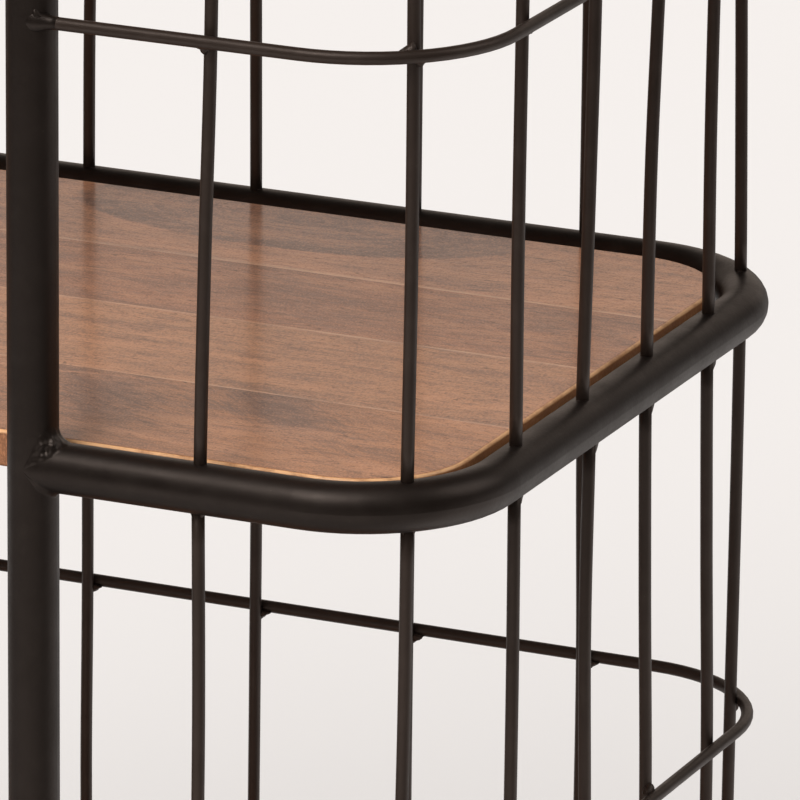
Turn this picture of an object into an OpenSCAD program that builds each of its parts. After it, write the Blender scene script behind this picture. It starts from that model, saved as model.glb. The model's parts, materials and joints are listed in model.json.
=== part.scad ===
// Wire bakery trolley: a cage of bent tube and welded wire, open at the front, with wooden shelves, on castors.
// Millimetres, Z up. The front faces -Y. The origin is on the floor, under the middle of the trolley.

/* [Trolley] */
// Width over the shelf rings
trolley_w = 1030; // [900:10:1300]
// Depth over the shelf rings
trolley_d = 475; // [440:5:620]
// Height from one shelf ring to the next
tier_pitch = 450; // [320:5:520]
// How far each front post stands in from the side of its ring, centre to centre
post_inset = 215; // [170:1:260]
// How far the posts stand up above the top ring
post_rise = 10; // [4:1:40]

/* [Tube and wire] */
// Outside diameter of the posts and the shelf rings
tube_d = 25.4; // [22:0.2:30]
// Wall of the tube
tube_wall = 1.5; // [1:0.1:2.5]
// Bend radius of the rings on the centreline
ring_bend_r = 72; // [65:1:90]
// Diameter of the upright wires and the hoops
wire_d = 6.5; // [5:0.5:8]
// Upright wires along each side, from one corner bend to the other
side_wires = 6; // [4:1:8]
// How far the side wires stand forward of even spacing
side_wire_lead = 3.5; // [0:0.5:12]
// How far the front wire beside each post stands from it, centre to centre
front_wire_gap = 91; // [60:1:110]
// Upright wires along the back
back_wires = 9; // [5:1:13]
// How far the outer back wires stand in from the sides of the ring
back_wire_inset = 114; // [90:1:150]

/* [Shelves] */
// Thickness of the boards
board_t = 19; // [16:1:24]
// Rounding along the upper and lower edges of the boards
board_edge_r = 2; // [1:0.5:6]
// Gap between the board's edge and the ring around it
board_gap = 3; // [2:0.5:6]
// Width of the flat bars under the board
bar_w = 25; // [20:1:35]
// Thickness of the flat bars
bar_t = 3; // [2.5:0.5:5]
// How far the front bar hides behind the board's front edge
front_bar_setback = 20; // [15:1:40]
// Cross bars under each board
cross_bars = 4; // [3:1:5]
// Diameter of the screw shank
screw_d = 4.5; // [3.5:0.5:5]
// Depth of each screw in the board
screw_bite = 12; // [8:1:14]

/* [Castors] */
// Height from the floor to the top of the castor plate
castor_h = 128; // [124:1:150]
// Diameter over the tyre
wheel_d = 100; // [80:1:104]
// Width of the tyre
tyre_w = 32; // [26:1:34]
// Depth of rubber on the wheel core
tyre_t = 12; // [8:1:15]
// Distance from the swivel axis back to the axle
trail = 35; // [28:1:38]
// Diameter of the wheel bolt
axle_d = 10; // [8:1:12]
// Diameter of the kingpin
kingpin_d = 12; // [10:1:16]
// Castor plate length, along the trolley's width
plate_w = 105; // [100:1:115]
// Castor plate depth, along the trolley's depth
plate_d = 85; // [80:1:90]
// Spacing of the bolts along the plate
bolt_pitch_w = 80; // [76:1:84]
// Spacing of the bolts across the plate
bolt_pitch_d = 60; // [56:1:64]
// Diameter of the castor bolts
bolt_d = 8; // [6:1:8]
// Thickness of the pads welded under the bottom ring
pad_t = 5; // [4.5:0.5:8]
// Pad length, in from the outside of the ring
pad_w = 150; // [146:1:170]
// Pad depth, in from the outside of the ring
pad_d = 115; // [113:1:130]

/* [Hidden] */
$fn = 96;
tiers = 3;
levels = tiers + 1;
// Clearances
running_clear = 0.05;
race_clear = 0.3;
bolt_clear = 0.2;
hub_side_clear = 1;
eps = 1;
// Ring and hoop paths
tube_r = tube_d / 2;
wire_r = wire_d / 2;
ring_w = trolley_w - tube_d;
ring_d = trolley_d - tube_d;
post_x = ring_w / 2 - post_inset;
hoop_offset = wire_d;
// Heights
pad_top = castor_h + pad_t;
ring_z0 = pad_top + tube_r;
post_top = ring_z0 + tiers * tier_pitch + tube_r + post_rise;
cap_t = 3;
cap_plug = 12;
// Upright wires
side_flat = ring_d / 2 - ring_bend_r;
corner_arc = ring_bend_r * PI / 2;
side_wire_pitch = (2 * side_flat + corner_arc) / (side_wires - 1);
post_station = -(side_flat + corner_arc + post_inset - ring_bend_r);
back_wire_pitch = (ring_w - 2 * back_wire_inset) / (back_wires - 1);
// Boards and bars
board_rise = bar_t - tube_r;
board_w = ring_w - tube_d - 2 * board_gap;
board_d = ring_d - tube_d - 2 * board_gap;
board_corner_r = ring_bend_r - tube_r - board_gap;
front_bar_y = -board_d / 2 + front_bar_setback + bar_w / 2;
end_bar_x = ring_w / 2 - ring_bend_r - bar_w;
cross_bar_pitch = 2 * end_bar_x / (cross_bars - 1);
screw_y = 0.4 * ring_d / 2;
screw_head_d = 2 * screw_d;
screw_head_h = 0.6 * screw_d;
// Castors
castor_x = trolley_w / 2 - 90;
castor_y = trolley_d / 2 - 70;
plate_t = 3;
plate_corner_r = 8;
race_h = 5;
race_r = 27;
race_base_r = 33;
crown_top = castor_h - plate_t - race_h - race_clear;
crown_r = 30;
fork_t = 3;
hub_w = tyre_w + 8;
fork_in = hub_w / 2 + hub_side_clear;
fork_out = fork_in + fork_t;
fork_bend_r = 8;
fork_front = 16;
fork_back = -26;
fork_nose = 12;
fork_boss_r = axle_d / 2 + 9;
axle_z = wheel_d / 2;
kingpin_head = 6;
kingpin_head_r = kingpin_d / 2 + 5;
kingpin_cone = 3;
core_r = wheel_d / 2 - tyre_t;
rim_t = 4;
web_t = 8;
hub_r = axle_d / 2 + 9;
axle_head_h = 6;
axle_head_af = 1.6 * axle_d;
bolt_len = 16;
bolt_head_r = bolt_d;
nut_h = 0.8 * bolt_d;
nut_af = 1.6 * bolt_d;
// Colours
black_paint = [0.17, 0.15, 0.14];
oiled_wood = [0.55, 0.38, 0.27];
zinc = [0.70, 0.71, 0.72];
rubber = [0.12, 0.12, 0.13];
cast_grey = [0.42, 0.43, 0.44];

// Height of a ring's centreline
function ring_z(level) = ring_z0 + (level - 1) * tier_pitch;

// Place on the right side's centreline, at a distance s from the middle of the side, positive to the back
function side_point(s) =
  let (a = abs(s), dir = s < 0 ? -1 : 1, bend = min(90, max(0, (a - side_flat) / ring_bend_r * 180 / PI)))
  a <= side_flat ? [ring_w / 2, s]
  : a <= side_flat + corner_arc
    ? [ring_w / 2 - ring_bend_r * (1 - cos(bend)), dir * (side_flat + ring_bend_r * sin(bend))]
    : [ring_w / 2 - ring_bend_r - (a - side_flat - corner_arc), dir * ring_d / 2];

// Point where a line from p touches a circle at c, on one side of it
function touch_point(p, c, r, side) =
  let (v = p - c, turn = atan2(v[1], v[0]) + side * acos(r / norm(v))) c + r * [cos(turn), sin(turn)];

// Round bar bent to a C in plan: both front stubs, both sides and the back, standing out from the centreline
module c_bar(r, out = 0) {
  half_w = ring_w / 2 + out;
  half_d = ring_d / 2 + out;
  bend_r = ring_bend_r + out;
  for (side = [-1, 1]) {
    translate([side * half_w, half_d - bend_r, 0]) rotate([90, 0, 0]) cylinder(h = 2 * side_flat, r = r);
    translate([side * post_x, -half_d, 0]) rotate([0, side * 90, 0])
      cylinder(h = half_w - bend_r - post_x, r = r);
    for (end = [-1, 1])
      translate([side * (half_w - bend_r), end * (half_d - bend_r), 0])
        rotate([0, 0, side > 0 ? (end > 0 ? 0 : -90) : (end > 0 ? 90 : 180)])
          rotate_extrude(angle = 90) translate([bend_r, 0]) circle(r = r);
  }
  translate([bend_r - half_w, half_d, 0]) rotate([0, 90, 0]) cylinder(h = 2 * (half_w - bend_r), r = r);
}

// Space taken by the two posts, for coping what meets them
module post_space() {
  for (side = [-1, 1])
    translate([side * post_x, -ring_d / 2, 0]) cylinder(h = post_top + eps, r = tube_r);
}

module front_post(side) {
  color(black_paint)
    translate([side * post_x, -ring_d / 2, pad_top + cap_t]) difference() {
      cylinder(h = post_top - pad_top - cap_t, r = tube_r);
      translate([0, 0, -eps]) cylinder(h = post_top - pad_top - cap_t + 2 * eps, r = tube_r - tube_wall);
    }
}

// Plug for a post end: a disc as wide as the tube with a bevelled rim, and a spigot inside it
module post_cap() {
  cylinder(h = cap_t - 1, r = tube_r);
  translate([0, 0, cap_t - 1]) cylinder(h = 1, r1 = tube_r, r2 = tube_r - 1);
  translate([0, 0, -cap_plug]) cylinder(h = cap_plug, r = tube_r - tube_wall);
}

module post_caps() {
  color(black_paint)
    for (side = [-1, 1]) translate([side * post_x, -ring_d / 2, 0]) {
      translate([0, 0, post_top]) post_cap();
      translate([0, 0, pad_top + cap_t]) rotate([180, 0, 0]) post_cap();
    }
}

// Hollow tube ring, its ends coped to the round of the posts
module shelf_ring(level) {
  color(black_paint)
    difference() {
      translate([0, 0, ring_z(level)]) difference() {
        c_bar(tube_r);
        c_bar(tube_r - tube_wall);
      }
      post_space();
    }
}

// Hoop outside the upright wires at half the height of its tier
module tier_hoop(tier) {
  color(black_paint)
    difference() {
      translate([0, 0, ring_z(tier) + tier_pitch / 2]) c_bar(wire_r, hoop_offset);
      post_space();
    }
}

// Trims wires to the round of the rings above and below them
module between_rings(tier) {
  difference() {
    translate([0, 0, ring_z(tier)]) children();
    for (level = [tier, tier + 1]) translate([0, 0, ring_z(level)]) c_bar(tube_r);
  }
}

module side_wire_row(tier, side) {
  color(black_paint)
    between_rings(tier) {
      for (i = [0 : side_wires - 1]) {
        p = side_point((i - (side_wires - 1) / 2) * side_wire_pitch - side_wire_lead);
        translate([side * p[0], p[1], 0]) cylinder(h = tier_pitch, r = wire_r);
      }
      stub = side_point(post_station + front_wire_gap);
      translate([side * stub[0], stub[1], 0]) cylinder(h = tier_pitch, r = wire_r);
    }
}

module back_wire_row(tier) {
  color(black_paint)
    between_rings(tier)
      for (i = [0 : back_wires - 1])
        translate([back_wire_inset - ring_w / 2 + i * back_wire_pitch, ring_d / 2, 0])
          cylinder(h = tier_pitch, r = wire_r);
}

function cross_bar_x(i) = i * cross_bar_pitch - end_bar_x;

// Floor area inside the centreline of a ring
module inside_ring(h) {
  for (side = [-1, 1], end = [-1, 1])
    translate([side * (ring_w / 2 - ring_bend_r), end * side_flat, 0]) cylinder(h = h, r = ring_bend_r);
  translate([ring_bend_r - ring_w / 2, -ring_d / 2, 0]) cube([ring_w - 2 * ring_bend_r, ring_d, h]);
  translate([-ring_w / 2, -side_flat, 0]) cube([ring_w, 2 * side_flat, h]);
}

// Front bar and cross bars, level with the underside of the ring, their ends coped to its tube
module shelf_bearers(level) {
  bar_z = ring_z(level) - tube_r;
  color(black_paint)
    difference() {
      translate([0, 0, bar_z]) intersection() {
        inside_ring(bar_t);
        union() {
          translate([-ring_w / 2, front_bar_y - bar_w / 2, 0]) cube([ring_w, bar_w, bar_t]);
          for (i = [0 : cross_bars - 1])
            translate([cross_bar_x(i) - bar_w / 2, front_bar_y, 0]) cube([bar_w, ring_d / 2 - front_bar_y, bar_t]);
        }
      }
      translate([0, 0, ring_z(level)]) c_bar(tube_r);
      screw_set(level, screw_d / 2, bar_z - eps, bar_z + bar_t + eps);
    }
}

// Shanks of the screws of one level
module screw_set(level, r, low, high) {
  for (i = [0 : cross_bars - 1], side = [-1, 1])
    translate([cross_bar_x(i), side * screw_y, low]) cylinder(h = high - low, r = r);
}

module shelf_screws() {
  color(zinc)
    for (level = [1 : levels]) {
      bar_z = ring_z(level) - tube_r;
      screw_set(level, screw_d / 2, bar_z, bar_z + bar_t + screw_bite);
      for (i = [0 : cross_bars - 1], side = [-1, 1])
        translate([cross_bar_x(i), side * screw_y, bar_z - screw_head_h])
          cylinder(h = screw_head_h, r1 = 0.7 * screw_head_d / 2, r2 = screw_head_d / 2);
    }
}

// Outline of a board at a distance inside its edge
module board_slab(inset, low, high) {
  flat_w = board_w - 2 * board_corner_r;
  flat_d = board_d - 2 * board_corner_r;
  h = high - low;
  translate([-flat_w / 2, inset - board_d / 2, low]) cube([flat_w, board_d - 2 * inset, h]);
  translate([inset - board_w / 2, -flat_d / 2, low]) cube([board_w - 2 * inset, flat_d, h]);
  for (side = [-1, 1], end = [-1, 1])
    translate([side * flat_w / 2, end * flat_d / 2, low]) cylinder(h = h, r = board_corner_r - inset);
}

// Rounded edge that runs right round a board
module board_rim(z) {
  flat_w = board_w - 2 * board_corner_r;
  flat_d = board_d - 2 * board_corner_r;
  for (side = [-1, 1]) {
    translate([-flat_w / 2, side * (board_d / 2 - board_edge_r), z]) rotate([0, 90, 0])
      cylinder(h = flat_w, r = board_edge_r);
    translate([side * (board_w / 2 - board_edge_r), flat_d / 2, z]) rotate([90, 0, 0])
      cylinder(h = flat_d, r = board_edge_r);
    for (end = [-1, 1])
      translate([side * flat_w / 2, end * flat_d / 2, z])
        rotate([0, 0, side > 0 ? (end > 0 ? 0 : -90) : (end > 0 ? 90 : 180)])
          rotate_extrude(angle = 90) translate([board_corner_r - board_edge_r, 0]) circle(r = board_edge_r);
  }
}

// Board with eased edges and corners that follow the bend of the ring
module shelf_board(level) {
  board_z = ring_z(level) + board_rise;
  color(oiled_wood)
    difference() {
      translate([0, 0, board_z]) {
        board_slab(board_edge_r, 0, board_t);
        board_slab(0, board_edge_r, board_t - board_edge_r);
        for (z = [board_edge_r, board_t - board_edge_r]) board_rim(z);
      }
      screw_set(level, screw_d / 2, board_z - eps, board_z + screw_bite);
    }
}

// Puts a castor piece at each castor's swivel axis
module at_castor(side, end) {
  translate([side * castor_x, end * castor_y, 0]) children();
}

module all_castors() {
  for (side = [-1, 1], end = [-1, 1]) at_castor(side, end) children();
}

module at_bolts() {
  for (i = [-1, 1], j = [-1, 1]) translate([i * bolt_pitch_w / 2, j * bolt_pitch_d / 2, 0]) children();
}

// Countersunk bolt from its head at the top, grown by a clearance on the shank
module bolt_form(length, clear = 0) {
  translate([0, 0, -length]) cylinder(h = length, r = bolt_d / 2 + clear);
  translate([0, 0, -bolt_d / 2]) cylinder(h = bolt_d / 2, r1 = bolt_d / 2, r2 = bolt_head_r);
}

// Corner plate under the bottom ring, its outer corner bent to the outside of the ring
module castor_pad(side, end) {
  round_r = ring_bend_r + tube_r;
  color(black_paint)
    difference() {
      translate([side * (trolley_w / 2 - round_r), end * (trolley_d / 2 - round_r), castor_h]) {
        rotate([0, 0, side > 0 ? (end > 0 ? 0 : -90) : (end > 0 ? 90 : 180)])
          rotate_extrude(angle = 90) square([round_r, pad_t]);
        mirror([side > 0 ? 0 : 1, 0, 0]) mirror([0, end > 0 ? 0 : 1, 0]) {
          translate([round_r - pad_w, round_r - pad_d, 0]) cube([pad_w - round_r, pad_d, pad_t]);
          translate([round_r - pad_w, round_r - pad_d, 0]) cube([pad_w, pad_d - round_r, pad_t]);
        }
      }
      at_castor(side, end) at_bolts() translate([0, 0, pad_top]) bolt_form(pad_t + eps, bolt_clear);
    }
}

// Top plate with rounded corners and the pressed upper race
module castor_plate(side, end) {
  color(zinc)
    at_castor(side, end) difference() {
      translate([0, 0, castor_h - plate_t]) {
        for (i = [-1, 1], j = [-1, 1])
          translate([i * (plate_w / 2 - plate_corner_r), j * (plate_d / 2 - plate_corner_r), 0])
            cylinder(h = plate_t, r = plate_corner_r);
        translate([-plate_w / 2 + plate_corner_r, -plate_d / 2, 0])
          cube([plate_w - 2 * plate_corner_r, plate_d, plate_t]);
        translate([-plate_w / 2, -plate_d / 2 + plate_corner_r, 0])
          cube([plate_w, plate_d - 2 * plate_corner_r, plate_t]);
        translate([0, 0, -race_h]) cylinder(h = race_h, r1 = race_r, r2 = race_base_r);
      }
      at_bolts() translate([0, 0, castor_h - plate_t - eps]) cylinder(h = plate_t + 2 * eps, r = bolt_d / 2 + bolt_clear);
      kingpin_shank(0);
    }
}

// Kingpin from its countersunk head in the plate down to the flange under the fork
module kingpin_shank(clear) {
  low = crown_top - fork_t - race_clear;
  translate([0, 0, low]) cylinder(h = castor_h - low, r = kingpin_d / 2 + clear);
  translate([0, 0, castor_h - kingpin_cone])
    cylinder(h = kingpin_cone, r1 = kingpin_d / 2, r2 = kingpin_d / 2 + kingpin_cone);
}

module castor_kingpin(side, end) {
  low = crown_top - fork_t - race_clear;
  color(zinc)
    at_castor(side, end) {
      kingpin_shank(0);
      translate([0, 0, low - kingpin_head + 2]) cylinder(h = kingpin_head - 2, r = kingpin_head_r);
      translate([0, 0, low - kingpin_head]) cylinder(h = 2, r1 = kingpin_head_r - 2, r2 = kingpin_head_r);
    }
}

// Channel section of the fork, with rounded shoulders, run along the castor
module fork_channel(half, top, r) {
  translate([-wheel_d, -half, 0]) cube([2 * wheel_d, 2 * half, top - r]);
  translate([-wheel_d, -half + r, 0]) cube([2 * wheel_d, 2 * (half - r), top]);
  for (side = [-1, 1])
    translate([-wheel_d, side * (half - r), top - r]) rotate([0, 90, 0]) cylinder(h = 2 * wheel_d, r = r);
}

// Side view of the fork, from the crown down to the boss at the axle
module fork_outline() {
  boss = [-trail, axle_z];
  front = [fork_front, crown_top - fork_nose];
  side_r = 0.97 * fork_boss_r;
  rotate([90, 0, 0]) {
    translate([0, 0, -wheel_d]) linear_extrude(2 * wheel_d)
      polygon([[fork_back, crown_top + eps], [fork_front, crown_top + eps], front,
        touch_point(front, boss, side_r, -1), boss, touch_point([fork_back, crown_top], boss, side_r, 1)]);
    translate([boss[0], boss[1], -wheel_d]) cylinder(h = 2 * wheel_d, r = fork_boss_r);
  }
}

module castor_fork(side, end) {
  color(zinc)
    at_castor(side, end) difference() {
      union() {
        intersection() {
          difference() {
            fork_channel(fork_out, crown_top, fork_bend_r);
            translate([0, 0, -eps]) fork_channel(fork_in, crown_top - fork_t + eps, fork_bend_r - fork_t);
          }
          fork_outline();
        }
        translate([0, 0, crown_top - fork_t]) cylinder(h = fork_t, r = crown_r);
      }
      translate([0, 0, crown_top - 2 * fork_t]) cylinder(h = 3 * fork_t, r = kingpin_d / 2 + running_clear);
      translate([-trail, wheel_d / 2, axle_z]) rotate([90, 0, 0]) cylinder(h = wheel_d, r = axle_d / 2);
    }
}

module castor_axle(side, end) {
  color(zinc)
    at_castor(side, end) translate([-trail, 0, axle_z]) rotate([90, 0, 0]) {
      translate([0, 0, -fork_out - axle_head_h - 2]) cylinder(h = 2 * fork_out + axle_head_h + 2, r = axle_d / 2);
      translate([0, 0, fork_out]) cylinder(h = axle_head_h, d = axle_head_af / cos(30), $fn = 6);
      translate([0, 0, -fork_out - axle_head_h]) cylinder(h = axle_head_h, d = axle_head_af / cos(30), $fn = 6);
    }
}

// Wheel core: hub, web and rim in one turned profile
module castor_wheel(side, end) {
  rim_w = tyre_w - 4;
  bore_r = axle_d / 2 + running_clear;
  color(cast_grey)
    at_castor(side, end) translate([-trail, 0, axle_z]) rotate([90, 0, 0])
      rotate_extrude()
        polygon([[bore_r, -hub_w / 2], [hub_r - 1, -hub_w / 2], [hub_r, -hub_w / 2 + 1], [hub_r + 1, -web_t / 2],
          [core_r - rim_t - 1, -web_t / 2], [core_r - rim_t, -rim_w / 2], [core_r, -rim_w / 2],
          [core_r, rim_w / 2], [core_r - rim_t, rim_w / 2], [core_r - rim_t - 1, web_t / 2],
          [hub_r + 1, web_t / 2], [hub_r, hub_w / 2 - 1], [hub_r - 1, hub_w / 2], [bore_r, hub_w / 2]]);
}

// Tyre with rounded shoulders
module castor_tyre(side, end) {
  shoulder_r = 5;
  color(rubber)
    at_castor(side, end) translate([-trail, 0, axle_z]) rotate([90, 0, 0])
      rotate_extrude() {
        translate([core_r, -tyre_w / 2]) square([tyre_t - shoulder_r, tyre_w]);
        translate([core_r, -tyre_w / 2 + shoulder_r]) square([tyre_t, tyre_w - 2 * shoulder_r]);
        for (j = [-1, 1])
          translate([wheel_d / 2 - shoulder_r, j * (tyre_w / 2 - shoulder_r)]) circle(r = shoulder_r);
      }
}

module castor_bolts() {
  color(zinc) all_castors() at_bolts() translate([0, 0, pad_top]) bolt_form(bolt_len);
}

module castor_nuts() {
  color(zinc)
    all_castors() at_bolts() translate([0, 0, castor_h - plate_t - nut_h]) difference() {
      cylinder(h = nut_h, d = nut_af / cos(30), $fn = 6);
      translate([0, 0, -eps]) cylinder(h = nut_h + 2 * eps, r = bolt_d / 2);
    }
}

front_post(-1);  // front_post_left
front_post(1);  // front_post_right
post_caps();
shelf_ring(1);  // shelf_ring_1
shelf_ring(2);  // shelf_ring_2
shelf_ring(3);  // shelf_ring_3
shelf_ring(4);  // shelf_ring_4
tier_hoop(1);  // tier_hoop_1
tier_hoop(2);  // tier_hoop_2
tier_hoop(3);  // tier_hoop_3
side_wire_row(1, 1);  // right_wires_1
side_wire_row(2, 1);  // right_wires_2
side_wire_row(3, 1);  // right_wires_3
side_wire_row(1, -1);  // left_wires_1
side_wire_row(2, -1);  // left_wires_2
side_wire_row(3, -1);  // left_wires_3
back_wire_row(1);  // back_wires_1
back_wire_row(2);  // back_wires_2
back_wire_row(3);  // back_wires_3
shelf_bearers(1);  // shelf_bearers_1
shelf_bearers(2);  // shelf_bearers_2
shelf_bearers(3);  // shelf_bearers_3
shelf_bearers(4);  // shelf_bearers_4
shelf_board(1);  // shelf_board_1
shelf_board(2);  // shelf_board_2
shelf_board(3);  // shelf_board_3
shelf_board(4);  // shelf_board_4
shelf_screws();
castor_pad(-1, -1);  // castor_pad_front_left
castor_pad(1, -1);  // castor_pad_front_right
castor_pad(-1, 1);  // castor_pad_back_left
castor_pad(1, 1);  // castor_pad_back_right
castor_plate(-1, -1);  // castor_plate_front_left
castor_plate(1, -1);  // castor_plate_front_right
castor_plate(-1, 1);  // castor_plate_back_left
castor_plate(1, 1);  // castor_plate_back_right
castor_bolts();
castor_nuts();
castor_kingpin(-1, -1);  // castor_kingpin_front_left
castor_kingpin(1, -1);  // castor_kingpin_front_right
castor_kingpin(-1, 1);  // castor_kingpin_back_left
castor_kingpin(1, 1);  // castor_kingpin_back_right
castor_fork(-1, -1);  // castor_fork_front_left
castor_fork(1, -1);  // castor_fork_front_right
castor_fork(-1, 1);  // castor_fork_back_left
castor_fork(1, 1);  // castor_fork_back_right
castor_axle(-1, -1);  // castor_axle_front_left
castor_axle(1, -1);  // castor_axle_front_right
castor_axle(-1, 1);  // castor_axle_back_left
castor_axle(1, 1);  // castor_axle_back_right
castor_wheel(-1, -1);  // castor_wheel_front_left
castor_wheel(1, -1);  // castor_wheel_front_right
castor_wheel(-1, 1);  // castor_wheel_back_left
castor_wheel(1, 1);  // castor_wheel_back_right
castor_tyre(-1, -1);  // castor_tyre_front_left
castor_tyre(1, -1);  // castor_tyre_front_right
castor_tyre(-1, 1);  // castor_tyre_back_left
castor_tyre(1, 1);  // castor_tyre_back_right
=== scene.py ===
import json
import math
import random
from collections import namedtuple

import bpy
import bmesh
from mathutils import Matrix, Vector, noise


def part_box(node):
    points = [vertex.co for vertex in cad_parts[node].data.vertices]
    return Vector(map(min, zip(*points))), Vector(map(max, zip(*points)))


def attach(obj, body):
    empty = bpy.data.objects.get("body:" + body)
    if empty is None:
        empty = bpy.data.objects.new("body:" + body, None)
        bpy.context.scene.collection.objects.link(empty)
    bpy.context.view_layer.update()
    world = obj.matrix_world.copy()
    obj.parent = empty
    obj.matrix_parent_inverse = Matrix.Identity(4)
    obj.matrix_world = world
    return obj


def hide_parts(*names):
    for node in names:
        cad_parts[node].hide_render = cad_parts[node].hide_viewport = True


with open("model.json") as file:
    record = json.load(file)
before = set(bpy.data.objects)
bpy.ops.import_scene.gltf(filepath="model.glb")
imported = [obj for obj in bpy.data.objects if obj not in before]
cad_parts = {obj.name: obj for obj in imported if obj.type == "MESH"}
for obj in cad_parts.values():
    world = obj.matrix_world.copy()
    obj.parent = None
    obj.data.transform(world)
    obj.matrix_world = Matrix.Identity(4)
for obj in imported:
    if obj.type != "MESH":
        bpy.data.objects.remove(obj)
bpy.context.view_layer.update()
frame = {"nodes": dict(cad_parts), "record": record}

X, Y, Z = range(3)
RIGHTWARDS = Vector((1.0, 0.0, 0.0))
BACKWARDS = Vector((0.0, 1.0, 0.0))
UP = Vector((0.0, 0.0, 1.0))


def middle(node, axis):
    """The middle of a CAD node's box along an axis, to a hundredth of a millimetre."""
    low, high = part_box(node)
    return round((low[axis] + high[axis]) / 2, 5)


def half(node, axis):
    """Half the length of a CAD node's box along an axis, to a hundredth of a millimetre."""
    low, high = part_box(node)
    return round((high[axis] - low[axis]) / 2, 5)


# Sizes in metres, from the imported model. Rings and hoops are given by the middle line of their tube
LEVELS = 4
TUBE_R = half("shelf_ring_1", Z)
WIRE_R = half("tier_hoop_1", Z)
SIDE_X = half("shelf_ring_1", X) - TUBE_R
BACK_Y = half("shelf_ring_1", Y) - TUBE_R
RING_Z = [middle("shelf_ring_%d" % (level + 1), Z) for level in range(LEVELS)]
TIER = round(RING_Z[1] - RING_Z[0], 5)
HOOP_RISE = round(middle("tier_hoop_1", Z) - RING_Z[0], 5)
POST_X = middle("front_post_right", X)
BACK_WIRE_X = half("back_wires_1", X) - WIRE_R
BAR_T = 2 * half("shelf_bearers_1", Z)
BEARERS_FRONT = middle("shelf_bearers_1", Y) - half("shelf_bearers_1", Y)

# Sizes of the same model that its boxes don't show
BEND_R = 0.072
SIDE_WIRES = 6
SIDE_LEAD = 0.0035
FRONT_WIRE_GAP = 0.091
BACK_WIRES = 9
BAR_W = 0.025
CROSS_BARS = 4

# What follows from them. A station is a length along the ring from the middle of its right side,
# positive towards the back
SIDE_FLAT = BACK_Y - BEND_R
CORNER_ARC = BEND_R * math.pi / 2
SIDE_PITCH = (2 * SIDE_FLAT + CORNER_ARC) / (SIDE_WIRES - 1)
POST_STATION = -(SIDE_FLAT + CORNER_ARC + (SIDE_X - POST_X) - BEND_R)
FRONT_STATION = POST_STATION + FRONT_WIRE_GAP
BACK_PITCH = 2 * BACK_WIRE_X / (BACK_WIRES - 1)
END_BAR_X = SIDE_X - BEND_R - BAR_W
FRONT_BAR_Y = BEARERS_FRONT + BAR_W / 2

# The board that the photograph shows, counted from 0 at the bottom
PHOTOGRAPHED = 1

SEED = 7
dice = random.Random(SEED)


# Camera

# Where the photograph was taken from, fitted to the lines in it. The heading turns from straight
# back to the left and the tilt turns up, both in degrees like the roll
CAMERA_PLACE = (2.0865, -3.8308, 1.8878)
CAMERA_HEADING = 23.9813
CAMERA_TILT = -17.3493
CAMERA_ROLL = 0.5859
CAMERA_LENS = 390.73
SENSOR_WIDTH = 36.0
CLIP_END = 500.0


def camera():
    """The camera, outside the trolley's front right corner and above the board that it looks at."""
    data = bpy.data.cameras.new("view_camera")
    data.sensor_width = SENSOR_WIDTH
    data.lens = CAMERA_LENS
    data.clip_end = CLIP_END
    cam = bpy.data.objects.new("view_camera", data)
    heading = Matrix.Rotation(math.radians(CAMERA_HEADING), 4, "Z")
    tilt = Matrix.Rotation(math.radians(90.0 + CAMERA_TILT), 4, "X")
    roll = Matrix.Rotation(math.radians(CAMERA_ROLL), 4, "Z")
    cam.matrix_world = Matrix.Translation(CAMERA_PLACE) @ heading @ tilt @ roll
    bpy.context.scene.collection.objects.link(cam)
    bpy.context.scene.camera = cam


# Node helpers

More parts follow.
